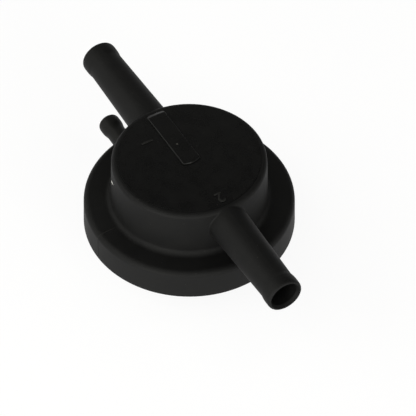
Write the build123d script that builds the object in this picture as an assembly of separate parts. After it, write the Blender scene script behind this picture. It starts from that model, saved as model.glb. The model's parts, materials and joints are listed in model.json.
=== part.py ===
from build123d import *
import os
from math import sqrt

# Canister purge valve: a vacuum-worked diaphragm valve in the vapour line between a fuel tank and its
# charcoal canister. One moulded upper housing carries both hose tubes. A lower cover, welded inside
# the housing's skirt, closes the vacuum chamber and carries the small control nipple. A spring lifts
# a rolling diaphragm, which presses a rubber pad on the nozzle below the inner duct. Vacuum at the
# nipple pulls the diaphragm down and opens the way from the tank tube to the canister tube.
#
# Millimetres. +Z is up, the origin is the centre of the flat base, +X points along the tank tube.

# Heights of the outer shells
cover_drop = 10.0          # lower cover, below the skirt's edge
skirt_height = 8.25        # flange side wall
drum_height = 13.65        # flange top to drum shoulder
disc_rise = 0.2            # top disc above the shoulder land
ridge_rise = 0.45          # ridge above the disc

# Upper housing, outside
drum_radius = 19.65
drum_draft = 0.35
drum_base_fillet = 1.5
shoulder_fillet = 1.2
shoulder_land = 0.45       # flat ring between the shoulder's fillet and the disc
flange_overhang = 7.35     # flange edge outside the drum
flange_draft = 0.15
rim_fillet = 1.5
ridge_width = 5.1
ridge_past_centre = 1.9
ridge_fillet = 0.4
ridge_ramp = 0.95          # length of the slope at the ridge's canister end
ridge_setback = 0.25       # foot of that slope inside the disc's edge

# Upper housing, inside
wall = 2.0
roof = 2.2
cavity_fillet = 0.8
skirt_wall = 1.6
clamp_rib_width = 2.9
clamp_rib_height = 2.05
duct_wall = 1.5
nozzle_drop = 0.5          # nozzle end below the duct
nozzle_wall = 0.7          # round the seat ring
nozzle_bore_radius = 3.4

# Hose tubes
tube_reach = 47.5          # from the valve's axis to each mouth
tube_top_gap = 0.13        # top of the tube's root below the shoulder
tube_wall = 0.83
tube_growth = 0.64         # radius gained by draft from bead to root
tube_root_fillet = 0.4
port_bore_radius = 3.7
bead_rise = 0.25           # bead above the tube behind it
bead_edge_drop = 0.08      # bead's back edge below its crest
bead_flare = 1.2           # hollow rise up to the back edge
bead_back = 1.2            # back edge to crest
bead_crest = 0.8
bead_nose = 1.3
flare_slope = 0.28         # rise of the hollow at the back edge, per unit of length
back_slope = 0.1           # rise of the bead just in front of that edge
nose_slope = 0.25          # run of the nose per unit of fall, at the mouth
tip_wall = 0.6
mouth_flare = 0.42         # radius that the lead-in adds to the bore at the mouth
mouth_depth = 0.9

# Vacuum nipple
nipple_height = 5.85
nipple_reach = 43.0
nipple_bore_radius = 1.2
nipple_wall = 1.34
nipple_growth = 0.56
nipple_bead_rise = 0.38
nipple_bead_flare = 1.9
nipple_bead_back = 0.9
nipple_bead_crest = 0.6
nipple_bead_nose = 1.6
nipple_tip_wall = 1.1

# Lower cover
cover_inset = 1.0          # cup wall inside the drum's foot
cover_draft = 0.2
cover_base_fillet = 2.0
cover_shoulder_height = 6.2
cover_step_wall = 1.8
cover_fillet = 0.6
cover_fit = 0.1            # cover flange inside the skirt
cover_flange = 2.0
boss_wall = 1.6
boss_floor = 1.2
locator_wall = 1.0
locator_height = 1.2
floor_rib_count = 6
floor_rib_width = 0.9
floor_rib_drop = 0.3       # rib below the locator's edge

# Diaphragm
diaphragm_thickness = 0.6
convolution_gap = 0.4      # convolution inside the cover's step
convolution_width = 3.65
convolution_depth = 3.1
convolution_flat = 0.25    # level stretch at the convolution's bottom
diaphragm_fillet = 0.9
edge_bead_inset = 1.2      # edge bead's centre inside the skirt's bore
edge_bead_section = 0.65
edge_bead_fit = 0.05

# Moving stack
valve_travel = 2.5
seat_gap = 0.02
piston_gap = 0.1           # piston skirt inside the diaphragm
piston_plate = 1.2
piston_skirt = 3.5
piston_hub_margin = 0.2    # hub outside the push nut
piston_hub_height = 3.8
carrier_inset = 1.85       # carrier's edge inside the convolution
carrier_plate = 1.2
carrier_hub_wall = 1.7
carrier_hub_height = 2.2
carrier_rib = 0.6
carrier_rib_width = 1.0
carrier_rib_count = 4
carrier_rib_end = 0.4      # rib end inside the carrier's edge
stem_wall = 1.5
stem_fit = 0.05
pad_margin = 1.7           # pad outside the seat ring
pad_thickness = 1.58
pad_fit = 0.1
pad_seat_depth = 0.8
pad_hole_margin = 0.4      # pad's hole outside the relief hole
push_nut_thickness = 0.5
push_nut_width = 1.9
push_nut_teeth = 6
tooth_slot = 0.6
soft_edge = 0.3            # rounding of the inner mouldings' edges

# Seat ring and guide
seat_ring_wall = 1.1
seat_ring_height = 1.9
seat_ring_lip = 0.4
guide_pin_radius = 1.25
guide_fit = 0.05
guide_head_height = 1.9
pin_end_gap = 0.1          # pin above the boss's floor, valve fully open
guide_engagement = 2.1     # pin inside the bush, valve shut
bush_wall = 1.1
bush_neck = 0.4
stop_gap = 0.05            # stem above the stop washer, valve fully open
stop_washer_thickness = 0.55
stop_washer_inset = 0.1

# Relief valve in the stem
ball_radius = 1.5
ball_side_gap = 0.5
ball_seat_width = 0.3      # ball's radius less its hole's
ball_fit = 0.03
pocket_roof = 0.5
relief_wire = 0.3
relief_coil_inset = 0.5    # coil radius less than the ball's
relief_turns = 6
vent_slot_width = 0.9
vent_slot_height = 0.8
vent_hole_radius = 0.5
vent_setback = 1.1         # vent hole's centre outside the carrier's hub

# Main spring
spring_wire = 1.0
spring_fit = 0.3           # coil outside its locators
spring_turns = 5.5
spring_gap = 0.02
spring_seat_thickness = 0.5
spring_seat_margin = 0.6
spring_seat_fit = 0.1

# Small inserts
jet_radius = 1.2
jet_head_width = 0.4
jet_head_height = 0.35
jet_seating = 0.1          # jet's head let into the duct
jet_orifice_radius = 0.3
jet_distance = 11.5
restrictor_length = 3.0
restrictor_orifice_radius = 0.3
filter_ledge = 1.0         # filter outside the nipple's bore
filter_thickness = 0.9
filter_room = 0.9          # clear bore between the filter and the restrictor
retainer_thickness = 0.25
filter_recess = 0.35       # retainer below the chamber wall

# Hose tubes and nipple, worked out from bores and walls
tube_neck_radius = port_bore_radius + tube_wall
tube_root_radius = tube_neck_radius + tube_growth
bead_radius = tube_neck_radius + bead_rise
tip_radius = port_bore_radius + tip_wall
nipple_neck_radius = nipple_bore_radius + nipple_wall
nipple_root_radius = nipple_neck_radius + nipple_growth
nipple_bead_radius = nipple_neck_radius + nipple_bead_rise
nipple_tip_radius = nipple_bore_radius + nipple_tip_wall

# Radii of the shells, from the drum outwards and back in
disc_radius = drum_radius - shoulder_fillet - shoulder_land
drum_foot_radius = drum_radius + drum_draft
drum_bore = drum_radius - wall
drum_foot_bore = drum_foot_radius - wall
flange_radius = drum_radius + flange_overhang
skirt_bore = flange_radius - skirt_wall
clamp_bore = skirt_bore - clamp_rib_width
cover_flange_radius = skirt_bore - cover_fit
cover_step_bore = clamp_bore - cover_step_wall
cover_radius = drum_foot_radius - cover_inset
cover_bore = cover_radius - wall
duct_radius = port_bore_radius + duct_wall

# The fillet at the drum's base stays below the tubes where the drum is low
room_under_tube = drum_height - tube_top_gap - 2 * tube_root_radius - tube_root_fillet
base_fillet = min(drum_base_fillet, 0.8 * room_under_tube)

# Radii of the diaphragm and what it carries
convolution_outer = cover_step_bore - convolution_gap - diaphragm_thickness / 2
convolution_inner = convolution_outer - convolution_width
convolution_fillet = (convolution_width - convolution_flat) / 2
piston_radius = convolution_inner - diaphragm_thickness / 2 - piston_gap
carrier_radius = convolution_inner - carrier_inset
seat_ring_radius = nozzle_bore_radius + seat_ring_wall
nozzle_radius = seat_ring_radius + nozzle_wall
pad_radius = seat_ring_radius + pad_margin
pad_recess_radius = pad_radius + pad_fit
carrier_hub_radius = pad_recess_radius + carrier_hub_wall
relief_hole_radius = ball_radius - ball_seat_width
pad_hole_radius = relief_hole_radius + pad_hole_margin
relief_coil_radius = ball_radius - relief_coil_inset
pocket_radius = ball_radius + ball_side_gap
stem_radius = pocket_radius + stem_wall
stem_bore = stem_radius + stem_fit
push_nut_radius = stem_radius + push_nut_width
piston_hub_radius = push_nut_radius + piston_hub_margin
locator_bore = piston_hub_radius + piston_hub_margin
locator_radius = locator_bore + locator_wall
spring_coil_radius = locator_radius + spring_fit + spring_wire / 2
guide_bore = guide_pin_radius + guide_fit
bush_radius = guide_bore + bush_wall
boss_radius = bush_radius + boss_wall
filter_radius = nipple_bore_radius + filter_ledge

# Levels of the shells, from the base up
skirt_z = cover_drop
flange_z = skirt_z + skirt_height
shoulder_z = flange_z + drum_height
disc_z = shoulder_z + disc_rise
ridge_z = disc_z + ridge_rise
ceiling_z = disc_z - roof
under_flange_z = flange_z - wall
clamp_z = under_flange_z - clamp_rib_height
cover_rim_z = clamp_z - diaphragm_thickness
step_floor_z = cover_shoulder_height + wall
port_z = shoulder_z - tube_root_radius - tube_top_gap
duct_z = port_z - duct_radius
nozzle_z = duct_z - nozzle_drop
seat_z = nozzle_z - seat_ring_lip

# Levels of the moving stack, from the nozzle down, valve shut
pad_top_z = seat_z - seat_gap
pad_z = pad_top_z - pad_thickness
carrier_top_z = pad_z + pad_seat_depth
carrier_z = carrier_top_z - carrier_hub_height     # underside of the carrier
carrier_plate_z = carrier_z + carrier_plate
diaphragm_z = carrier_z - diaphragm_thickness      # underside of the diaphragm's centre
piston_z = diaphragm_z - piston_plate
hub_z = piston_z - piston_hub_height
nut_z = hub_z - push_nut_thickness
pocket_z = pad_z - pocket_roof
ball_z = pocket_z - sqrt(ball_radius ** 2 - relief_hole_radius ** 2) - ball_fit

# Levels of the guide, from the boss's floor up; the stem reaches down to it
pin_z = boss_floor + valve_travel + pin_end_gap
bush_z = pin_z + guide_engagement
boss_z = bush_z - bush_neck
stop_z = boss_z + stop_washer_thickness
stem_z = stop_z + stop_gap + valve_travel
guide_head_z = stem_z + guide_head_height
spring_foot_z = wall + spring_seat_thickness
locator_z = wall + locator_height

cut_margin = 1.0           # how far a cut runs past the face that it opens


def profile(corners):
    """A closed face in the XZ plane from (radius or x, height, corner fillet)."""
    points = [(across, up) for across, up, _ in corners]
    radii = [rounding for _, _, rounding in corners]
    return make_face(Plane.XZ * FilletPolyline(*points, radius=radii, close=True))


def turned(corners):
    """A body of revolution about the valve's axis."""
    return revolve(profile(corners), Axis.Z)


def ring(inner, outer, low, high):
    """A plain ring or, with no inner radius, a disc, between two levels."""
    body = Pos(0, 0, low) * Cylinder(outer, high - low, align=(Align.CENTER, Align.CENTER, Align.MIN))
    if inner > 0:
        body -= Pos(0, 0, low) * Cylinder(inner, high - low, align=(Align.CENTER, Align.CENTER, Align.MIN))
    return body


def rod(radius, start, end, height):
    """A round bar along X from start to end, at a height."""
    bar = Rot(0, 90, 0) * Cylinder(radius, end - start, align=(Align.CENTER, Align.CENTER, Align.MIN))
    return Pos(start, 0, height) * bar


def bar(start, length, width, low, high):
    """A square-edged bar along X, centred on the valve's axis, between two levels."""
    block = Box(length, width, high - low, align=(Align.MIN, Align.CENTER, Align.MIN))
    return Pos(start, 0, low) * block


def spaced(body, count, offset=0.0):
    """Copies of a body, evenly spaced round the valve's axis. The offset is a share of the spacing."""
    step = 360 / count
    return [Rot(0, 0, step * (index + offset)) * body for index in range(count)]


def barbed_tube(start, root_at, reach, root, neck, bead, lengths, tip, height):
    """A drafted hose tube along +X, without its bore; lengths run along the bead from its back."""
    flare, back, crest, nose = lengths
    crest_end = reach - nose
    crest_start = crest_end - crest
    edge_at = crest_start - back
    edge = bead - bead_edge_drop
    bead_start = edge_at - flare
    draft = (root - neck) / (bead_start - root_at)
    start_radius = root + draft * (root_at - start)
    outline = Polyline((start, 0), (start, start_radius), (bead_start, neck))
    outline += Spline((bead_start, neck), (edge_at, edge), tangents=[(1, -draft), (1, flare_slope)])
    outline += Spline((edge_at, edge), (crest_start, bead), tangents=[(1, back_slope), (1, 0)])
    outline += Line((crest_start, bead), (crest_end, bead))
    outline += Spline((crest_end, bead), (reach, tip), tangents=[(1, 0), (nose_slope, -1)])
    outline += Polyline((reach, tip), (reach, 0), (start, 0))
    axis = Axis((0, 0, 0), (1, 0, 0))
    return Pos(0, 0, height) * revolve(make_face(Plane.XZ * outline), axis)


def hose_tube(side):
    """One of the two equal hose tubes: side is 1 for the tank and -1 for the canister."""
    tube = barbed_tube(
        drum_radius - shoulder_fillet, drum_radius, tube_reach, tube_root_radius, tube_neck_radius,
        bead_radius, (bead_flare, bead_back, bead_crest, bead_nose), tip_radius, port_z,
    )
    return tube if side > 0 else Rot(0, 0, 180) * tube


def mouth_lead_in(side):
    """The cut that opens a hose tube's bore out to its mouth."""
    cone = Cone(port_bore_radius, port_bore_radius + mouth_flare, mouth_depth)
    return Rot(0, 0, 90 - 90 * side) * (Pos(tube_reach - mouth_depth / 2, 0, port_z) * Rot(0, 90, 0) * cone)


def top_ridge():
    """The low flat rib over the inner duct: it slopes down to the disc's edge on the canister side."""
    arc_at = ridge_past_centre - duct_radius
    plan = Pos(arc_at, 0) * Circle(duct_radius)
    plan += Pos((arc_at - disc_radius) / 2, 0) * Rectangle(disc_radius + arc_at, ridge_width)
    plan &= Rectangle(2 * disc_radius, ridge_width)
    foot = disc_radius - ridge_setback
    rib = extrude(Pos(0, 0, ceiling_z) * plan, ridge_z - ceiling_z)
    rib &= turned([
        (0, ceiling_z, 0), (foot, ceiling_z, 0), (foot, disc_z, 0),
        (foot - ridge_ramp, ridge_z, 0), (0, ridge_z, 0),
    ])
    edges = [edge for edge in rib.edges() if edge.center().Z > disc_z + ridge_rise / 4]
    return fillet(edges, ridge_fillet)


def housing_shell():
    """Drum, flange and skirt in one moulding, open below."""
    return turned([
        (skirt_bore, skirt_z, 0), (flange_radius, skirt_z, 0),
        (flange_radius - flange_draft, flange_z, rim_fillet),
        (drum_foot_radius, flange_z, base_fillet),
        (drum_radius, shoulder_z, shoulder_fillet),
        (disc_radius, shoulder_z, 0), (disc_radius, disc_z, 0), (0, disc_z, 0),
        (0, ceiling_z, 0), (drum_bore, ceiling_z, cavity_fillet),
        (drum_foot_bore, under_flange_z, 0), (clamp_bore, under_flange_z, 0),
        (clamp_bore, clamp_z, 0), (skirt_bore, clamp_z, 0),
    ])


def edge_bead(section):
    """The round bead on the diaphragm's edge or, a little larger, its groove."""
    bead_z = cover_rim_z + edge_bead_section + edge_bead_fit
    return Pos(0, 0, bead_z) * Torus(skirt_bore - edge_bead_inset, section)


def upper_housing():
    """The main moulding: shell, both hose tubes, the canister duct and its nozzle."""
    nozzle = ring(0, nozzle_radius, nozzle_z, port_z) + ring(0, duct_radius, duct_z, ceiling_z + roof / 2)
    duct_start = -drum_bore - wall / 2
    duct = rod(duct_radius, duct_start, 0, port_z)
    duct += bar(duct_start, -duct_start, 2 * duct_radius, port_z, ceiling_z)
    outside = housing_shell() + hose_tube(1) + hose_tube(-1)
    root_edges = [
        edge for edge in outside.edges()
        if drum_radius - shoulder_fillet < abs(edge.center().X) < drum_foot_radius + tube_root_fillet
        and abs(edge.center().Y) < tube_root_radius and duct_z < edge.center().Z < shoulder_z - tube_top_gap / 2
    ]
    outside = fillet(root_edges, tube_root_fillet)
    body = outside + top_ridge() + duct + nozzle
    body -= rod(port_bore_radius, drum_bore - wall, tube_reach, port_z)
    body -= rod(port_bore_radius, -tube_reach, 0, port_z)
    body -= Pos(0, 0, port_z) * Sphere(port_bore_radius)
    body -= ring(0, nozzle_bore_radius, nozzle_z, port_z)
    body -= ring(0, seat_ring_radius, nozzle_z, seat_z + seat_ring_height)
    body -= Pos(-jet_distance, 0, 0) * ring(0, jet_radius, duct_z - cut_margin, port_z)
    body -= edge_bead(edge_bead_section + edge_bead_fit)
    return body - mouth_lead_in(1) - mouth_lead_in(-1)


def vacuum_nipple():
    """The control nipple on the canister side, along -X."""
    nipple = barbed_tube(
        cover_bore + wall / 4, cover_radius, nipple_reach, nipple_root_radius, nipple_neck_radius,
        nipple_bead_radius, (nipple_bead_flare, nipple_bead_back, nipple_bead_crest, nipple_bead_nose),
        nipple_tip_radius, nipple_height,
    )
    return Rot(0, 0, 180) * nipple


def lower_cover():
    """The stepped vacuum cup with its welding flange, guide boss, spring locator and nipple."""
    cup_top = skirt_z + cover_flange
    body = turned([
        (0, 0, 0), (cover_radius, 0, cover_base_fillet),
        (cover_radius + cover_draft, cover_shoulder_height, cover_fillet),
        (clamp_bore, cover_shoulder_height, cover_fillet),
        (clamp_bore, skirt_z, 0), (cover_flange_radius, skirt_z, 0),
        (cover_flange_radius, cover_rim_z, 0), (clamp_bore, cover_rim_z, 0),
        (clamp_bore, cup_top, 0), (cover_step_bore, cup_top, 0),
        (cover_step_bore, step_floor_z, cover_fillet),
        (cover_bore + cover_draft, step_floor_z, cover_fillet),
        (cover_bore, wall, cover_fillet), (0, wall, 0),
    ])
    body += vacuum_nipple()
    body += ring(0, boss_radius, wall / 2, boss_z)
    body += ring(locator_bore, locator_radius, wall / 2, locator_z)
    rib = bar(boss_radius - boss_wall / 2, locator_bore - boss_radius + boss_wall,
              floor_rib_width, wall / 2, locator_z - floor_rib_drop)
    for copy in spaced(rib, floor_rib_count, 0.5):
        body += copy
    body -= ring(0, bush_radius, boss_floor, boss_z)
    body -= rod(nipple_bore_radius, -nipple_reach, -cover_bore + wall / 2, nipple_height)
    return body - filter_pocket()


def pocket_bottom():
    """Distance from the valve's axis to the bottom of the filter's recess in the chamber wall."""
    chord = sqrt(cover_bore ** 2 - filter_radius ** 2)
    return chord + filter_recess + retainer_thickness + filter_thickness


def filter_pocket():
    """Recess in the chamber wall for the filter and its retainer."""
    return rod(filter_radius, -pocket_bottom(), -cover_bore + wall / 2, nipple_height)


def vacuum_filter():
    """Sintered disc at the inner end of the nipple's bore."""
    return rod(filter_radius, -pocket_bottom(), filter_thickness - pocket_bottom(), nipple_height)


def filter_retainer():
    """Thin sprung ring that holds the filter in its recess."""
    start = filter_thickness - pocket_bottom()
    ring_body = rod(filter_radius, start, start + retainer_thickness, nipple_height)
    return ring_body - rod(nipple_bore_radius, start, start + retainer_thickness, nipple_height)


def vacuum_restrictor():
    """Brass plug with a fine orifice, pressed into the nipple's bore behind the filter."""
    end = -pocket_bottom() - filter_room
    plug = rod(nipple_bore_radius, end - restrictor_length, end, nipple_height)
    return plug - rod(restrictor_orifice_radius, end - restrictor_length, end, nipple_height)


def diaphragm():
    """Rolling rubber diaphragm: clamped edge with a bead, one convolution and a flat centre."""
    half = diaphragm_thickness / 2
    edge_z = cover_rim_z + half
    floor_z = edge_z - convolution_depth
    centre_z = diaphragm_z + half
    upper = [
        (cover_flange_radius, edge_z + half), (convolution_outer - half, edge_z + half),
        (convolution_outer - half, floor_z + half), (convolution_inner + half, floor_z + half),
        (convolution_inner + half, centre_z + half), (stem_bore, centre_z + half),
    ]
    lower = [
        (cover_flange_radius, edge_z - half), (convolution_outer + half, edge_z - half),
        (convolution_outer + half, floor_z - half), (convolution_inner - half, floor_z - half),
        (convolution_inner - half, centre_z - half), (stem_bore, centre_z - half),
    ]
    outside, inside = diaphragm_fillet + half, diaphragm_fillet - half
    loop_outside, loop_inside = convolution_fillet + half, convolution_fillet - half
    upper_radii = [outside, loop_inside, loop_inside, outside]
    lower_radii = [inside, loop_outside, loop_outside, inside]
    outline = FilletPolyline(*upper, radius=upper_radii)
    outline += Line(upper[-1], lower[-1])
    outline += FilletPolyline(*lower, radius=lower_radii)
    outline += Line(lower[0], upper[0])
    sheet = revolve(make_face(Plane.XZ * outline), Axis.Z)
    return sheet + edge_bead(edge_bead_section)


def valve_carrier():
    """Upper plate with the hollow stem; it holds the pad above and the relief valve inside."""
    body = turned([
        (0, pad_z, 0), (pad_recess_radius, pad_z, 0), (pad_recess_radius, carrier_top_z, 0),
        (carrier_hub_radius, carrier_top_z, soft_edge), (carrier_hub_radius, carrier_plate_z, soft_edge),
        (carrier_radius, carrier_plate_z, soft_edge), (carrier_radius, carrier_z, 0),
        (stem_radius, carrier_z, 0), (stem_radius, stem_z, soft_edge), (0, stem_z, 0),
    ])
    rib_start = carrier_hub_radius - soft_edge
    rib = bar(rib_start, carrier_radius - carrier_rib_end - rib_start, carrier_rib_width,
              carrier_plate_z - carrier_rib, carrier_plate_z + carrier_rib)
    vent_reach = carrier_hub_radius + vent_setback
    slot_start = pocket_radius / 2
    vent = bar(slot_start, vent_reach + vent_hole_radius - slot_start, vent_slot_width,
               carrier_z, carrier_z + vent_slot_height)
    vent += Pos(vent_reach, 0, 0) * ring(0, vent_hole_radius, carrier_z, carrier_plate_z)
    for copy in spaced(rib, carrier_rib_count):
        body += copy
    body -= ring(0, pocket_radius, stem_z, pocket_z)
    body -= ring(0, relief_hole_radius, pocket_z, pad_z)
    for copy in spaced(vent, carrier_rib_count, 0.5):
        body -= copy
    return body


def valve_pad():
    """Rubber sealing pad bonded in the carrier's recess."""
    return ring(pad_hole_radius, pad_radius, pad_z, pad_top_z)


def piston():
    """Cup that supports the diaphragm from the vacuum side and takes the spring's thrust."""
    skirt_bottom = piston_z - piston_skirt
    inner = piston_radius - piston_plate
    return turned([
        (stem_bore, diaphragm_z, 0), (piston_radius, diaphragm_z, diaphragm_fillet),
        (piston_radius, skirt_bottom, soft_edge), (inner, skirt_bottom, soft_edge),
        (inner, piston_z, soft_edge), (locator_radius, piston_z, 0),
        (locator_radius, piston_z - locator_height, 0),
        (piston_hub_radius, piston_z - locator_height, 0),
        (piston_hub_radius, hub_z, soft_edge), (stem_bore, hub_z, 0),
    ])


def push_nut():
    """Sprung steel ring that bites the stem and clamps piston, diaphragm and carrier together."""
    body = ring(stem_radius, push_nut_radius, nut_z, hub_z)
    slot = bar(0, stem_radius + push_nut_width / 2, tooth_slot, nut_z, hub_z)
    for copy in spaced(slot, push_nut_teeth):
        body -= copy
    return body


def guide_pin():
    """Pin whose head closes the relief pocket and whose shank slides in the cover's bush."""
    return ring(0, pocket_radius, stem_z, guide_head_z) + ring(0, guide_pin_radius, pin_z, stem_z)


def guide_bush():
    """Plain bearing pressed in the cover's boss."""
    return ring(guide_bore, bush_radius, boss_floor, bush_z)


def stop_washer():
    """Rubber washer on the boss that the stem meets when the valve is fully open."""
    return ring(bush_radius, boss_radius - stop_washer_inset, boss_z, stop_z)


def coil(wire, radius, turns, low, high):
    """A round-wire compression spring between two levels."""
    height = high - low - wire
    path = Helix(height / turns, height, radius, center=(0, 0, low + wire / 2))
    section = Plane(origin=path @ 0, z_dir=path % 0) * Circle(wire / 2)
    return sweep(section, path=path, is_frenet=True)


def main_spring():
    return coil(spring_wire, spring_coil_radius, spring_turns, spring_foot_z + spring_gap, piston_z - spring_gap)


def spring_seat():
    """Steel wear washer under the main spring."""
    outer = spring_coil_radius + spring_wire / 2 + spring_seat_margin
    return ring(locator_radius + spring_seat_fit, outer, wall, spring_foot_z)


def relief_spring():
    """Light spring between the guide pin's head and the relief ball."""
    reach = ball_radius + relief_wire / 2 + ball_fit
    top = ball_z - sqrt(reach ** 2 - relief_coil_radius ** 2) + relief_wire / 2
    return coil(relief_wire, relief_coil_radius, relief_turns, guide_head_z + spring_gap, top)


def relief_ball():
    """Steel ball that shuts the relief hole from below."""
    return Pos(0, 0, ball_z) * Sphere(ball_radius)


def seat_ring():
    """Hard ring pressed into the nozzle; its narrow lip meets the pad."""
    top_z = seat_z + seat_ring_height
    return turned([
        (nozzle_bore_radius, seat_z, 0), (nozzle_bore_radius + seat_ring_lip, seat_z, 0),
        (seat_ring_radius, nozzle_z, 0), (seat_ring_radius, top_z, 0), (nozzle_bore_radius, top_z, 0),
    ])


def bleed_jet():
    """Brass jet in the duct's floor; it lets the tank breathe while the valve is shut."""
    under_z = duct_z - jet_seating
    head_z = under_z - jet_head_height
    top_z = port_z - port_bore_radius - jet_seating
    body = ring(0, jet_radius, under_z, top_z) + ring(0, jet_radius + jet_head_width, head_z, under_z)
    return Pos(-jet_distance, 0, 0) * (body - ring(0, jet_orifice_radius, head_z, top_z))


os.makedirs("parts", exist_ok=True)
pieces = [
    upper_housing, lower_cover, diaphragm, valve_carrier, valve_pad, piston, push_nut, guide_pin,
    guide_bush, stop_washer, main_spring, spring_seat, relief_spring, relief_ball, seat_ring,
    bleed_jet, vacuum_filter, filter_retainer, vacuum_restrictor,
]
for piece in pieces:
    export_step(piece(), f"parts/{piece.__name__}.step")
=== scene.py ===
import bpy
import json
from math import cos, pi, radians, sin
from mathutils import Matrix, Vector

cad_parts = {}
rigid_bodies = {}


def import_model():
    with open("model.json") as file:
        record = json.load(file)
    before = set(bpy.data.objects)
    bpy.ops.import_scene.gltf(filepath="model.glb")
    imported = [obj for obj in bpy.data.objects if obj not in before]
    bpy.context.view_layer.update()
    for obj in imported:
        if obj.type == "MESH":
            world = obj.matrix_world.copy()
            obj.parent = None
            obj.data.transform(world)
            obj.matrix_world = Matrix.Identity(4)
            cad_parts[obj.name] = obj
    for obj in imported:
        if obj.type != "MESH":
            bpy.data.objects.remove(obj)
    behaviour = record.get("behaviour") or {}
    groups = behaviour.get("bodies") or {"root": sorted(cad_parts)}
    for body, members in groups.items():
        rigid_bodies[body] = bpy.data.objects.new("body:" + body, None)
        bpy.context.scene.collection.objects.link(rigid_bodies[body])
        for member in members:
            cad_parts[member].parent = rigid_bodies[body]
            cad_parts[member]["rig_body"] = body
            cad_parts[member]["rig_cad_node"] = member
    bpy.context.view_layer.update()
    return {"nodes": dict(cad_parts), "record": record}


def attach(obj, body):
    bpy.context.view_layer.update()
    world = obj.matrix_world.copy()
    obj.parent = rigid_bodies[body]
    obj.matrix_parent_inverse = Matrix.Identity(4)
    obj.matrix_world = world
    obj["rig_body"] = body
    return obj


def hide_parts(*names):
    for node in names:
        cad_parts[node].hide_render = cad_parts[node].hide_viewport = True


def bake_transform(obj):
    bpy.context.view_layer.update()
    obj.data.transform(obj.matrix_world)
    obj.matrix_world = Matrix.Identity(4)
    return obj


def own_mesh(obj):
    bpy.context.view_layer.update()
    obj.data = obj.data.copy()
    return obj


# A canister purge valve: a black moulded drum on a skirted flange, with a hose tube to each side.
# Metres. +Z is up, the origin is the centre of the flat base, and +X points along the tank tube.

MM = 0.001

# The photograph's view, for an image of 416 by 416 pixels
IMAGE_PIXELS = 416
FOCAL_PIXELS = 3911
CAMERA_TURN = radians(150.15)      # heading of the line of sight, from +X
CAMERA_DIP = radians(48.06)        # how far the line of sight falls below level
CAMERA_DISTANCE = 1.0
AIM_HEIGHT = 10 * MM
AIM_PIXEL = (189.25, 216.75)       # where the aim point falls in the image
SENSOR = 36.0                      # mm

# Heights and radii of the moulding that the small pieces sit on
DISC_Z = 32.1 * MM
SHOULDER_Z = 31.9 * MM
RIDGE_Z = 32.55 * MM
FLANGE_Z = 18.25 * MM
DRUM_RADIUS = 19.65 * MM           # at the shoulder
DRUM_FOOT_RADIUS = 20.0 * MM       # at the flange
FLANGE_RADIUS = 26.85 * MM
RIM_FILLET = 1.5 * MM
FOOT_FILLET_END = 21.67 * MM       # radius where the fillet at the drum's foot runs out

# The small pieces' own sizes
FIGURE_SIZE = 4.6 * MM
FIGURE_RISE = 0.17 * MM            # the rounded edge adds its own size to this
FIGURE_EDGE = 0.04 * MM
FIGURE_MERGE = 0.002 * MM          # points of its outline nearer than this become one
SEAM_WIDTH = 0.22 * MM
SEAM_THICKNESS = 0.2 * MM          # half of it stands proud
SEAM_OFFSET = 0.45 * MM            # from the YZ plane, at the flange's rim
SEAM_END_Z = 10.6 * MM
RIM_STEPS = 6                      # straight stretches in the seam's quarter turn round the rim
PIP_RADIUS = 0.3 * MM
PIP_RIM = 0.1 * MM                 # the ring round its torn middle
PIP_SUNK = 0.08 * MM               # how far below the ridge's top the pip starts
FLECK_THICKNESS = 0.08 * MM
CAD_MERGE = 0.0005 * MM            # points of a CAD copy nearer than this become one
SMOOTH_ANGLE = radians(30)

# How far the valve and the relief ball move
VALVE_TRAVEL = 2.5 * MM
RELIEF_TRAVEL = 0.8 * MM

DUST = "#4a4946"                   # as it looks on black nylon
WAVE_PITCH = 0.314                 # a wave texture of scale 1 repeats every 0.314 units

# Lamps all round, and a strip low in front
LAMP_DISTANCE = 1.2
LAMP_WATTS = 10
LAMP_COLOUR = (1.0, 1.0, 0.95)
BOX_SIZE = (0.6, 0.6)
STRIP_SIZE = (0.62, 0.16)
LOW_BOX_LIFT = 0.12                # lifts a low box until the table hides only its lowest edge

TABLE_SIZE = 2.4
TABLE_GAP = 0.2 * MM               # between the table and the valve's base
TABLE_GLOW = 0.9                   # white, with what the lamps add to TABLE_SHADE
TABLE_SHADE = 0.12                 # the part that the valve's shadow can darken

# Heights of direction: mirrored rays see white below the first and a dark ceiling above the second
BACKDROP_TOP = sin(radians(3))
CEILING = sin(radians(7))
FILL = 0.01                        # the world's own light on the valve


def colour(code):
    """An sRGB hex colour as linear red, green, blue and alpha."""
    channels = [int(code[i:i + 2], 16) / 255 for i in (1, 3, 5)]
    linear = [c / 12.92 if c <= 0.04045 else ((c + 0.055) / 1.055) ** 2.4 for c in channels]
    return (*linear, 1.0)


def add_node(tree, kind, settings=None, values=None, links=None):
    """Add a node with its settings, its socket values and its incoming links."""
    node = tree.nodes.new(kind)
    for name, value in (settings or {}).items():
        setattr(node, name, value)
    for name, value in (values or {}).items():
        node.inputs[name].default_value = value
    for name, source in (links or {}).items():
        tree.links.new(source, node.inputs[name])
    return node


def new_material(name):
    """An empty material, as (material, tree, output, Object coordinates)."""
    material = bpy.data.materials.new(name)
    material.use_nodes = True
    tree = material.node_tree
    tree.nodes.clear()
    output = add_node(tree, "ShaderNodeOutputMaterial")
    place = add_node(tree, "ShaderNodeTexCoord").outputs["Object"]
    return material, tree, output, place


def dress(piece, material):
    """Give a piece one material all over."""
    piece.data.materials.clear()
    piece.data.materials.append(material)


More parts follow.
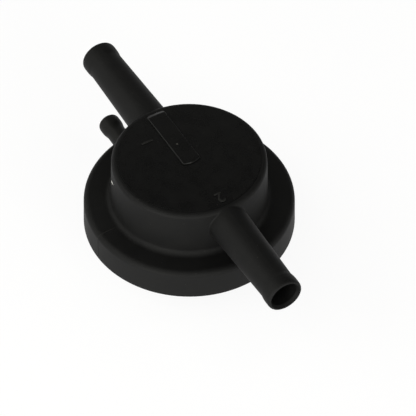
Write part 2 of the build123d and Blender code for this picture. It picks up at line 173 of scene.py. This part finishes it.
def moulded_nylon(name, code, dust_code, wall_roughness, top_roughness):
    """Glass-filled nylon from a spark-eroded mould: near black, matt walls and a smoother top."""
    material, tree, output, place = new_material(name)
    height = add_node(tree, "ShaderNodeSeparateXYZ", links={"Vector": place}).outputs["Z"]
    top = add_node(tree, "ShaderNodeMapRange", values={
        "From Min": SHOULDER_Z, "From Max": DISC_Z, "To Min": 0.0, "To Max": 1.0,
    }, links={"Value": height})
    # Clouds of resin-rich and fibre-rich skin, about 4 mm across
    cloud = add_node(tree, "ShaderNodeTexNoise", values={
        "Scale": 1 / (4 * MM), "Detail": 3.0, "Roughness": 0.6,
    }, links={"Vector": place})
    # Eroded grain of 0.1 mm, drawn at 0.35 mm, or it would not show
    grain = add_node(tree, "ShaderNodeTexNoise", values={
        "Scale": 1 / (0.35 * MM), "Detail": 2.0, "Roughness": 0.6,
    }, links={"Vector": place})
    # Settled dust: one speck to a cell of 2.5 mm, 0.15 mm across and faded out at 0.25 mm
    speck = add_node(tree, "ShaderNodeTexVoronoi", values={
        "Scale": 1 / (2.5 * MM),
    }, links={"Vector": place})
    dusty = add_node(tree, "ShaderNodeMapRange", values={
        "From Min": 0.03, "From Max": 0.05, "To Min": 0.4, "To Max": 0.0,
    }, links={"Value": speck.outputs["Distance"]})
    film = add_node(tree, "ShaderNodeMapRange", values={
        "From Min": 0.35, "From Max": 0.75, "To Min": 0.0, "To Max": 0.025,
    }, links={"Value": cloud.outputs["Fac"]})
    soiled = add_node(tree, "ShaderNodeMath", {"operation": "MAXIMUM"}, links={
        0: dusty.outputs[0], 1: film.outputs[0],
    })
    skin = add_node(tree, "ShaderNodeMixRGB", values={
        "Color1": colour(code), "Color2": colour(dust_code),
    }, links={"Fac": soiled.outputs[0]})
    base = add_node(tree, "ShaderNodeMapRange", values={
        "From Min": 0.0, "From Max": 1.0, "To Min": wall_roughness, "To Max": top_roughness,
    }, links={"Value": top.outputs[0]})
    drift = add_node(tree, "ShaderNodeMapRange", values={
        "From Min": 0.3, "From Max": 0.7, "To Min": -0.03, "To Max": 0.03,
    }, links={"Value": cloud.outputs["Fac"]})
    roughness = add_node(tree, "ShaderNodeMath", {"operation": "ADD"}, links={
        0: base.outputs[0], 1: drift.outputs[0],
    })
    depth = add_node(tree, "ShaderNodeMapRange", values={
        "From Min": 0.0, "From Max": 1.0, "To Min": 1.0, "To Max": 0.35,
    }, links={"Value": top.outputs[0]})
    relief = add_node(tree, "ShaderNodeMath", {"operation": "MULTIPLY"}, links={
        0: grain.outputs["Fac"], 1: depth.outputs[0],
    })
    bump = add_node(tree, "ShaderNodeBump", values={
        "Strength": 0.5, "Distance": 0.012 * MM,
    }, links={"Height": relief.outputs[0]})
    shader = add_node(tree, "ShaderNodeBsdfPrincipled", values={
        "IOR": 1.5, "Specular IOR Level": 0.15,
    }, links={
        "Base Color": skin.outputs["Color"],
        "Roughness": roughness.outputs[0],
        "Normal": bump.outputs["Normal"],
    })
    tree.links.new(shader.outputs["BSDF"], output.inputs["Surface"])
    return material


def rubber(name, code, worn_code, weave):
    """Moulded rubber: dull, with a bloom and a weave, from cloth inside or from the mould."""
    material, tree, output, place = new_material(name)
    bloom = add_node(tree, "ShaderNodeTexNoise", values={
        "Scale": 1 / (2.5 * MM), "Detail": 4.0,
    }, links={"Vector": place})
    mix = add_node(tree, "ShaderNodeMixRGB", values={
        "Color1": colour(code), "Color2": colour(worn_code),
    }, links={"Fac": bloom.outputs["Fac"]})
    warp = add_node(tree, "ShaderNodeTexWave", {"bands_direction": "X"}, values={
        "Scale": WAVE_PITCH / weave, "Distortion": 0.4,
    }, links={"Vector": place})
    weft = add_node(tree, "ShaderNodeTexWave", {"bands_direction": "Y"}, values={
        "Scale": WAVE_PITCH / weave, "Distortion": 0.4,
    }, links={"Vector": place})
    cloth = add_node(tree, "ShaderNodeMath", {"operation": "ADD"}, links={
        0: warp.outputs["Fac"], 1: weft.outputs["Fac"],
    })
    bump = add_node(tree, "ShaderNodeBump", values={
        "Strength": 0.35, "Distance": 0.02 * MM,
    }, links={"Height": cloth.outputs[0]})
    roughness = add_node(tree, "ShaderNodeMapRange", values={
        "From Min": 0.3, "From Max": 0.7, "To Min": 0.62, "To Max": 0.8,
    }, links={"Value": bloom.outputs["Fac"]})
    shader = add_node(tree, "ShaderNodeBsdfPrincipled", values={"IOR": 1.48}, links={
        "Base Color": mix.outputs["Color"],
        "Roughness": roughness.outputs[0],
        "Normal": bump.outputs["Normal"],
    })
    tree.links.new(shader.outputs["BSDF"], output.inputs["Surface"])
    return material


def natural_acetal():
    """Unpigmented acetal: milky white, waxy, with faint flow lines round the valve's axis."""
    material, tree, output, place = new_material("moulded_natural_acetal")
    rings = {"wave_type": "RINGS", "rings_direction": "Z"}
    flow = add_node(tree, "ShaderNodeTexWave", rings, values={
        "Scale": WAVE_PITCH / (1.5 * MM), "Distortion": 3.0, "Detail": 2.0,
    }, links={"Vector": place})
    handled = add_node(tree, "ShaderNodeTexNoise", values={
        "Scale": 1 / (1.2 * MM), "Detail": 3.0,
    }, links={"Vector": place})
    mix = add_node(tree, "ShaderNodeMixRGB", values={
        "Color1": colour("#e2ded3"), "Color2": colour("#d6d0c1"),
    }, links={"Fac": flow.outputs["Fac"]})
    roughness = add_node(tree, "ShaderNodeMapRange", values={
        "From Min": 0.3, "From Max": 0.7, "To Min": 0.3, "To Max": 0.42,
    }, links={"Value": handled.outputs["Fac"]})
    bump = add_node(tree, "ShaderNodeBump", values={
        "Strength": 0.2, "Distance": 0.01 * MM,
    }, links={"Height": handled.outputs["Fac"]})
    shader = add_node(tree, "ShaderNodeBsdfPrincipled", values={"IOR": 1.48}, links={
        "Base Color": mix.outputs["Color"],
        "Roughness": roughness.outputs[0],
        "Normal": bump.outputs["Normal"],
    })
    tree.links.new(shader.outputs["BSDF"], output.inputs["Surface"])
    return material


def worked_metal(name, code, dull_code, roughness_range, mark_size, stretch):
    """Bare metal: dulled in patches, with tool marks of a size, which stretch packs closer."""
    material, tree, output, place = new_material(name)
    drawn = add_node(tree, "ShaderNodeMapping", values={"Scale": stretch}, links={"Vector": place})
    marks = add_node(tree, "ShaderNodeTexNoise", values={
        "Scale": 1 / mark_size, "Detail": 4.0,
    }, links={"Vector": drawn.outputs["Vector"]})
    tarnish = add_node(tree, "ShaderNodeTexNoise", values={
        "Scale": 1 / (1.5 * MM), "Detail": 2.0,
    }, links={"Vector": place})
    mix = add_node(tree, "ShaderNodeMixRGB", values={
        "Color1": colour(code), "Color2": colour(dull_code),
    }, links={"Fac": tarnish.outputs["Fac"]})
    low, high = roughness_range
    roughness = add_node(tree, "ShaderNodeMapRange", values={
        "From Min": 0.3, "From Max": 0.7, "To Min": low, "To Max": high,
    }, links={"Value": marks.outputs["Fac"]})
    bump = add_node(tree, "ShaderNodeBump", values={
        "Strength": 0.3, "Distance": 0.006 * MM,
    }, links={"Height": marks.outputs["Fac"]})
    shader = add_node(tree, "ShaderNodeBsdfPrincipled", values={"Metallic": 1.0}, links={
        "Base Color": mix.outputs["Color"],
        "Roughness": roughness.outputs[0],
        "Normal": bump.outputs["Normal"],
    })
    tree.links.new(shader.outputs["BSDF"], output.inputs["Surface"])
    return material


def sintered_bronze():
    """Pressed bronze powder: bright grains of 0.15 mm with dark pores between them, their darkness
    a painted shade.
    """
    material, tree, output, place = new_material("sintered_bronze")
    grains = add_node(tree, "ShaderNodeTexVoronoi", values={
        "Scale": 1 / (0.15 * MM),
    }, links={"Vector": place})
    # Darker away from each grain's centre: painted shade in the pores
    pore_shade = add_node(tree, "ShaderNodeMapRange", values={
        "From Min": 0.3, "From Max": 0.7, "To Min": 0.0, "To Max": 1.0,
    }, links={"Value": grains.outputs["Distance"]})
    mix = add_node(tree, "ShaderNodeMixRGB", values={
        "Color1": colour("#b08a57"), "Color2": colour("#3a2c1c"),
    }, links={"Fac": pore_shade.outputs[0]})
    bump = add_node(tree, "ShaderNodeBump", {"invert": True}, values={
        "Strength": 0.8, "Distance": 0.05 * MM,
    }, links={"Height": grains.outputs["Distance"]})
    shader = add_node(tree, "ShaderNodeBsdfPrincipled", values={
        "Metallic": 1.0, "Roughness": 0.5,
    }, links={
        "Base Color": mix.outputs["Color"], "Normal": bump.outputs["Normal"],
    })
    tree.links.new(shader.outputs["BSDF"], output.inputs["Surface"])
    return material


def pale_flake_painted_glint():
    """Pale flake colour, a painted glint: matt, and blotched in lumps of 0.2 mm."""
    material, tree, output, place = new_material("pale_flake_painted_glint_finish")
    lumps = add_node(tree, "ShaderNodeTexNoise", values={
        "Scale": 1 / (0.2 * MM), "Detail": 3.0,
    }, links={"Vector": place})
    mix = add_node(tree, "ShaderNodeMixRGB", values={
        "Color1": colour("#9c9a95"), "Color2": colour("#f0efec"),
    }, links={"Fac": lumps.outputs["Fac"]})
    shader = add_node(tree, "ShaderNodeBsdfPrincipled", values={
        "Roughness": 0.9, "IOR": 1.4,
    }, links={"Base Color": mix.outputs["Color"]})
    tree.links.new(shader.outputs["BSDF"], output.inputs["Surface"])
    return material


def alone(piece):
    """Select one piece and nothing else."""
    bpy.ops.object.select_all(action="DESELECT")
    piece.select_set(True)
    bpy.context.view_layer.objects.active = piece


def select_points(piece, wanted):
    """Enter edit mode with only the points selected that pass a test of their place."""
    alone(piece)
    bpy.ops.object.mode_set(mode="EDIT")
    bpy.context.tool_settings.mesh_select_mode = (True, False, False)
    bpy.ops.mesh.select_all(action="DESELECT")
    bpy.ops.object.mode_set(mode="OBJECT")
    for point in piece.data.vertices:
        point.select = wanted(point.co)
    bpy.ops.object.mode_set(mode="EDIT")


def turn_faces_out(piece):
    """Point all of a closed piece's faces outwards."""
    alone(piece)
    bpy.ops.object.mode_set(mode="EDIT")
    bpy.ops.mesh.select_all(action="SELECT")
    bpy.ops.mesh.normals_make_consistent(inside=False)
    bpy.ops.object.mode_set(mode="OBJECT")


def fit_piece(piece, material, body):
    """Apply a piece's place, dress it and let it ride on a body."""
    alone(piece)
    bpy.ops.object.transform_apply(location=True, rotation=True, scale=True)
    dress(piece, material)
    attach(piece, body)


def raised_figures(name, text, place, turn, material):
    """Thin raised figures that mark a port on the top disc."""
    bpy.ops.object.select_all(action="DESELECT")
    bpy.ops.object.text_add()
    figures = bpy.context.object
    figures.name = name
    figures.data.body = text
    figures.data.align_x = figures.data.align_y = "CENTER"
    figures.data.size = FIGURE_SIZE
    figures.data.offset = -FIGURE_EDGE / 2
    figures.data.extrude = FIGURE_RISE
    figures.data.bevel_depth = FIGURE_EDGE
    figures.data.bevel_resolution = 2
    bpy.ops.object.convert(target="MESH")
    figures = bpy.context.object
    bpy.ops.object.mode_set(mode="EDIT")
    bpy.ops.mesh.select_all(action="SELECT")
    bpy.ops.mesh.remove_doubles(threshold=FIGURE_MERGE)
    bpy.ops.object.mode_set(mode="OBJECT")
    turn_faces_out(figures)
    figures.location = (*place, DISC_Z)
    figures.rotation_euler = (0, 0, turn)
    fit_piece(figures, material, "housing")
    bpy.ops.object.shade_smooth_by_angle(angle=SMOOTH_ANGLE)


def raised_seam(name, route, width, thickness, material):
    """A fine line half sunk in the moulding: a strip along a route, thickened and rounded."""
    bpy.ops.object.select_all(action="DESELECT")
    bpy.ops.mesh.primitive_plane_add(size=width, location=route[0])
    seam = bpy.context.object
    seam.name = name
    bpy.ops.object.transform_apply(location=True, rotation=True, scale=True)
    centre = Vector(route[0])
    end = Vector(route[1])
    heading = end - centre
    # The square becomes the route's first stretch
    for point in seam.data.vertices:
        offset = point.co - centre
        point.co = (end if offset.dot(heading) > 0 else centre) + Vector((offset.x, 0, 0))
    select_points(seam, lambda place: (place - end).length < width)
    for start, stop in zip(route[1:], route[2:]):
        step = Vector(stop) - Vector(start)
        bpy.ops.mesh.extrude_region_move(TRANSFORM_OT_translate={"value": step})
    bpy.ops.object.mode_set(mode="OBJECT")
    rounding = {
        "width": thickness * 0.35, "segments": 2,
        "limit_method": "ANGLE", "angle_limit": radians(50),
    }
    for kind, settings in (
        ("SOLIDIFY", {"thickness": thickness, "offset": 0.0}),
        ("BEVEL", rounding),
    ):
        modifier = seam.modifiers.new(kind.lower(), kind)
        for key, value in settings.items():
            setattr(modifier, key, value)
        bpy.ops.object.modifier_apply(modifier=modifier.name)
    turn_faces_out(seam)
    fit_piece(seam, material, "housing")
    bpy.ops.object.shade_smooth_by_angle(angle=radians(40))


def flange_route(across):
    """Points over the flange's top, round its rim and down its side."""
    rim_y = FLANGE_RADIUS - RIM_FILLET
    points = []
    # On the top the line drifts towards the YZ plane
    for drift, reach in ((0.6, FOOT_FILLET_END), (0.8, 23.6 * MM)):
        points.append((across * drift, -reach, FLANGE_Z))
    for step in range(RIM_STEPS + 1):
        angle = step * pi / (2 * RIM_STEPS)
        points.append((
            across, -rim_y - RIM_FILLET * sin(angle), FLANGE_Z - RIM_FILLET * (1 - cos(angle)),
        ))
    # The side leans out towards its foot
    for lean, height in ((0.06 * MM, 14.0 * MM), (0.12 * MM, SEAM_END_Z)):
        points.append((across, -FLANGE_RADIUS - lean, height))
    return points


def gate_pip(name, place, material):
    """The torn stub of a pin gate: a low round pip, drawn in towards its top."""
    bpy.ops.object.select_all(action="DESELECT")
    bpy.ops.mesh.primitive_circle_add(
        vertices=24, radius=PIP_RADIUS, fill_type="NGON", location=place,
    )
    pip = bpy.context.object
    pip.name = name
    bpy.ops.object.mode_set(mode="EDIT")
    bpy.ops.mesh.select_all(action="SELECT")
    wall, tear = (0, 0, 0.07 * MM), (0.06 * MM, 0.04 * MM, 0.05 * MM)
    bpy.ops.mesh.extrude_region_move(TRANSFORM_OT_translate={"value": wall})
    bpy.ops.mesh.inset(thickness=PIP_RIM)
    bpy.ops.transform.translate(value=tear)
    bpy.ops.object.mode_set(mode="OBJECT")
    turn_faces_out(pip)
    fit_piece(pip, material, "housing")
    bpy.ops.object.shade_smooth_by_angle(angle=SMOOTH_ANGLE)


def wall_fleck(name, start, stop, width, material):
    """A pale flake on the drum's wall, a painted glint, from one (direction in degrees, height) to
    another.
    """
    bpy.ops.object.select_all(action="DESELECT")
    bpy.ops.mesh.primitive_circle_add(vertices=20, radius=1.0, fill_type="NGON")
    fleck = bpy.context.object
    fleck.name = name
    bpy.ops.object.mode_set(mode="EDIT")
    bpy.ops.mesh.select_all(action="SELECT")
    bpy.ops.mesh.poke()
    bpy.ops.object.mode_set(mode="OBJECT")
    (start_turn, start_z), (stop_turn, stop_z) = start, stop
    for point in fleck.data.vertices:
        along, across = (point.co.x + 1) / 2, point.co.y
        taper = 0.7 + 0.3 * sin(5 * along)    # broad, then narrow, as a torn flake is
        turn = radians(start_turn + (stop_turn - start_turn) * along)
        height = start_z + (stop_z - start_z) * along + across * width * taper / 2
        climb = (height - FLANGE_Z) / (SHOULDER_Z - FLANGE_Z)
        reach = DRUM_FOOT_RADIUS + (DRUM_RADIUS - DRUM_FOOT_RADIUS) * climb
        point.co = (reach * cos(turn), reach * sin(turn), height)
    thicken = fleck.modifiers.new("thicken", "SOLIDIFY")
    thicken.thickness, thicken.offset = FLECK_THICKNESS, 0.0
    alone(fleck)
    bpy.ops.object.modifier_apply(modifier=thicken.name)
    turn_faces_out(fleck)
    fit_piece(fleck, material, "housing")


def merged_copy(node, name):
    """A copy of a CAD node as one closed mesh, which then stands for the node."""
    copy = node.copy()
    copy.data = node.data.copy()
    copy.name = name
    copy.parent = None
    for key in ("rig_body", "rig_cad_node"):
        del copy[key]
    bpy.context.scene.collection.objects.link(copy)
    alone(copy)
    bpy.ops.object.mode_set(mode="EDIT")
    bpy.ops.mesh.select_all(action="SELECT")
    bpy.ops.mesh.remove_doubles(threshold=CAD_MERGE)
    bpy.ops.object.mode_set(mode="OBJECT")
    bpy.ops.object.shade_smooth_by_angle(angle=SMOOTH_ANGLE)
    return copy


def sprung_copy(nodes, node_name, name, body, material):
    """A spring: a merged copy of its CAD node, which rides on a body in the node's place."""
    spring = merged_copy(nodes[node_name], name)
    dress(spring, material)
    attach(spring, body)
    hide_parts(node_name)
    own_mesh(spring)


def rolling_diaphragm(nodes, material):
    """The diaphragm: a merged copy of its CAD node, with its place baked into the mesh."""
    sheet = merged_copy(nodes["diaphragm"], "rolling_diaphragm")
    dress(sheet, material)
    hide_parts("diaphragm")
    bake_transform(sheet)


def studio_world():
    """White where it is seen, but for a dark ceiling in mirrored rays, and hardly any fill."""
    world = bpy.data.worlds.new("studio")
    bpy.context.scene.world = world
    world.use_nodes = True
    tree = world.node_tree
    tree.nodes.clear()
    rays = add_node(tree, "ShaderNodeLightPath")
    direct = add_node(tree, "ShaderNodeMath", {"operation": "MAXIMUM"}, links={
        0: rays.outputs["Is Camera Ray"], 1: rays.outputs["Is Transmission Ray"],
    })
    way = add_node(tree, "ShaderNodeTexCoord").outputs["Generated"]
    rise = add_node(tree, "ShaderNodeSeparateXYZ", links={"Vector": way}).outputs["Z"]
    backdrop = add_node(tree, "ShaderNodeMapRange", values={
        "From Min": BACKDROP_TOP, "From Max": CEILING, "To Min": 1.0, "To Max": 0.0,
    }, links={"Value": rise})
    mirrored = add_node(tree, "ShaderNodeMath", {"operation": "MULTIPLY"}, links={
        0: rays.outputs["Is Glossy Ray"], 1: backdrop.outputs[0],
    })
    white = add_node(tree, "ShaderNodeMath", {"operation": "MAXIMUM"}, links={
        0: direct.outputs[0], 1: mirrored.outputs[0],
    })
    strength = add_node(tree, "ShaderNodeMapRange", values={
        "To Min": FILL, "To Max": 1.0,
    }, links={"Value": white.outputs[0]})
    sky = add_node(tree, "ShaderNodeBackground", values={"Color": (1, 1, 1, 1)}, links={
        "Strength": strength.outputs[0],
    })
    output = add_node(tree, "ShaderNodeOutputWorld")
    tree.links.new(sky.outputs[0], output.inputs["Surface"])


def floor():
    """A table that is seen white, and keeps a faint shadow under the valve."""
    bpy.ops.object.select_all(action="DESELECT")
    bpy.ops.mesh.primitive_plane_add(size=TABLE_SIZE, location=(0, 0, -TABLE_GAP))
    table = bpy.context.object
    table.name = "floor"
    material, tree, output, _ = new_material("white_table")
    rays = add_node(tree, "ShaderNodeLightPath")
    direct = add_node(tree, "ShaderNodeMath", {"operation": "MAXIMUM"}, links={
        0: rays.outputs["Is Camera Ray"], 1: rays.outputs["Is Transmission Ray"],
    })
    seen = add_node(tree, "ShaderNodeMath", {"operation": "MAXIMUM"}, links={
        0: direct.outputs[0], 1: rays.outputs["Is Glossy Ray"],
    })
    lit = add_node(tree, "ShaderNodeBsdfDiffuse", values={"Color": colour("#f4f4f4")})
    shade = add_node(tree, "ShaderNodeBsdfDiffuse", values={
        "Color": (TABLE_SHADE, TABLE_SHADE, TABLE_SHADE, 1),
    })
    glow = add_node(tree, "ShaderNodeEmission", values={"Strength": TABLE_GLOW})
    white = add_node(tree, "ShaderNodeAddShader", links={0: shade.outputs[0], 1: glow.outputs[0]})
    mix = add_node(tree, "ShaderNodeMixShader", links={
        0: seen.outputs[0], 1: lit.outputs[0], 2: white.outputs[0],
    })
    tree.links.new(mix.outputs[0], output.inputs["Surface"])
    dress(table, material)


def softbox(name, azimuth, elevation, share, size, lift):
    """A lamp from a direction, in degrees, with a share of full power, lifted by a height."""
    data = bpy.data.lights.new(name, "AREA")
    data.shape = "RECTANGLE"
    data.size, data.size_y = size
    data.energy = LAMP_WATTS * share
    data.color = LAMP_COLOUR
    lamp = bpy.data.objects.new(name, data)
    bpy.context.scene.collection.objects.link(lamp)
    turn, rise = radians(azimuth), radians(elevation)
    back = Vector((cos(rise) * cos(turn), cos(rise) * sin(turn), sin(rise)))
    lamp.location = back * LAMP_DISTANCE + Vector((0, 0, lift))
    lamp.rotation_mode = "QUATERNION"
    lamp.rotation_quaternion = (-back).to_track_quat("-Z", "Y")


def camera():
    """The photograph's camera: a long lens, aimed at a point on the valve's axis."""
    data = bpy.data.cameras.new("camera")
    data.sensor_width = SENSOR
    data.lens = FOCAL_PIXELS / IMAGE_PIXELS * SENSOR
    data.shift_x = (IMAGE_PIXELS / 2 - AIM_PIXEL[0]) / IMAGE_PIXELS
    data.shift_y = (AIM_PIXEL[1] - IMAGE_PIXELS / 2) / IMAGE_PIXELS
    lens = bpy.data.objects.new("camera", data)
    bpy.context.scene.collection.objects.link(lens)
    sight = Vector((
        cos(CAMERA_DIP) * cos(CAMERA_TURN), cos(CAMERA_DIP) * sin(CAMERA_TURN), -sin(CAMERA_DIP),
    ))
    lens.location = Vector((0, 0, AIM_HEIGHT)) - sight * CAMERA_DISTANCE
    lens.rotation_mode = "QUATERNION"
    lens.rotation_quaternion = sight.to_track_quat("-Z", "Y")
    data.clip_start, data.clip_end = 0.01, 10
    bpy.context.scene.camera = lens


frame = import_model()
camera()

finishes = {
    "housing_nylon": moulded_nylon(
        "moulded_black_nylon", "#0b0b0b", DUST, wall_roughness=0.62, top_roughness=0.28,
    ),
    "cover_nylon": moulded_nylon(
        "moulded_black_nylon_cover", "#0d0d0c", DUST, wall_roughness=0.55, top_roughness=0.55,
    ),
    # Dull blue-black, with the backing cloth's threads showing
    "diaphragm_rubber": rubber(
        "cloth_backed_fluorosilicone", "#22262b", "#30353a", weave=0.45 * MM,
    ),
    # Dull brown-black, with the mould's coarser texture
    "seal_rubber": rubber(
        "moulded_fluorocarbon_rubber", "#2a1c17", "#3a2a22", weave=0.8 * MM,
    ),
    "acetal": natural_acetal(),
    # Bright grey wire with fine die marks
    "spring_steel": worked_metal(
        "drawn_spring_steel", "#b9b9b6", "#8e8c88",
        roughness_range=(0.22, 0.4), mark_size=0.1 * MM, stretch=(1, 1, 4),
    ),
    # Nearly a mirror
    "ball_steel": worked_metal(
        "lapped_stainless_steel", "#cfcfcd", "#bdbdbb",
        roughness_range=(0.05, 0.12), mark_size=0.3 * MM, stretch=(1, 1, 1),
    ),
    # Yellow, with turning marks round it
    "brass": worked_metal(
        "turned_brass", "#c9a251", "#9a7836",
        roughness_range=(0.2, 0.38), mark_size=0.12 * MM, stretch=(1, 1, 3),
    ),
    "sintered_bronze": sintered_bronze(),
}
for subpart in frame["record"]["subparts"]:
    dress(frame["nodes"][subpart["node"]], finishes[subpart["material_slot"]])

for node_name, name, body, joint, travel in (
    ("main_spring", "main_coil_spring", "housing", "valve_lift", VALVE_TRAVEL),
    ("relief_spring", "relief_coil_spring", "valve", "relief_lift", RELIEF_TRAVEL),
):
    sprung_copy(frame["nodes"], node_name, name, body,
                finishes["spring_steel"])
rolling_diaphragm(frame["nodes"], finishes["diaphragm_rubber"])

# Painted highlight: the raised figures and the parting line are a little paler than the walls, for
# the light that their raised edges catch
figure_nylon_painted_highlight = moulded_nylon(
    "moulded_black_nylon_figures_painted_highlight", "#1c1c1b", DUST, wall_roughness=0.55, top_roughness=0.55,
)
# Nylon whitens and roughens where it tears off the gate
torn_nylon = moulded_nylon(
    "torn_black_nylon", "#383734", "#55544f", wall_roughness=0.6, top_roughness=0.6,
)
raised_figures(
    "canister_port_figure", "1", place=(-10 * MM, -6.3 * MM), turn=pi, material=figure_nylon_painted_highlight,
)
raised_figures(
    "tank_port_figure", "2", place=(15.3 * MM, 0), turn=-pi / 2, material=figure_nylon_painted_highlight,
)
# The parting line has the same paler nylon, a painted highlight along its raised edge
raised_seam(
    "mould_parting_line", flange_route(SEAM_OFFSET), SEAM_WIDTH, SEAM_THICKNESS, figure_nylon_painted_highlight,
)
gate_pip("gate_pin_witness", (-5.4 * MM, -0.45 * MM, RIDGE_Z - PIP_SUNK), torn_nylon)
# A pale flake where the drum's wall shows a glint: a painted highlight
wall_fleck(
    "fleck_painted_glint", start=(-113.1, 26.32 * MM), stop=(-105.0, 27.52 * MM), width=0.5 * MM,
    material=pale_flake_painted_glint(),
)

studio_world()
floor()
softbox("front_strip", azimuth=300, elevation=4, share=0.85, size=STRIP_SIZE, lift=0)
softbox("right_low_box", azimuth=0, elevation=8, share=0.60, size=BOX_SIZE, lift=LOW_BOX_LIFT)
for name, azimuth, elevation, share in (
    ("right_box", 0, 30, 0.22), ("right_back_box", 30, 30, 0.10), ("far_right_box", 60, 30, 0.15),
    ("back_box", 150, 30, 0.09), ("back_left_box", 180, 30, 0.05), ("left_back_box", 210, 30, 0.23),
    ("left_side_box", 240, 30, 0.25), ("left_box", 270, 30, 0.20), ("left_high_box", 270, 52, 0.15),
    ("front_high_box", 315, 52, 0.28), ("top_box", 45, 75, 0.07),
):
    softbox(name, azimuth, elevation, share, size=BOX_SIZE, lift=0)
bpy.context.scene.view_settings.view_transform = "Standard"
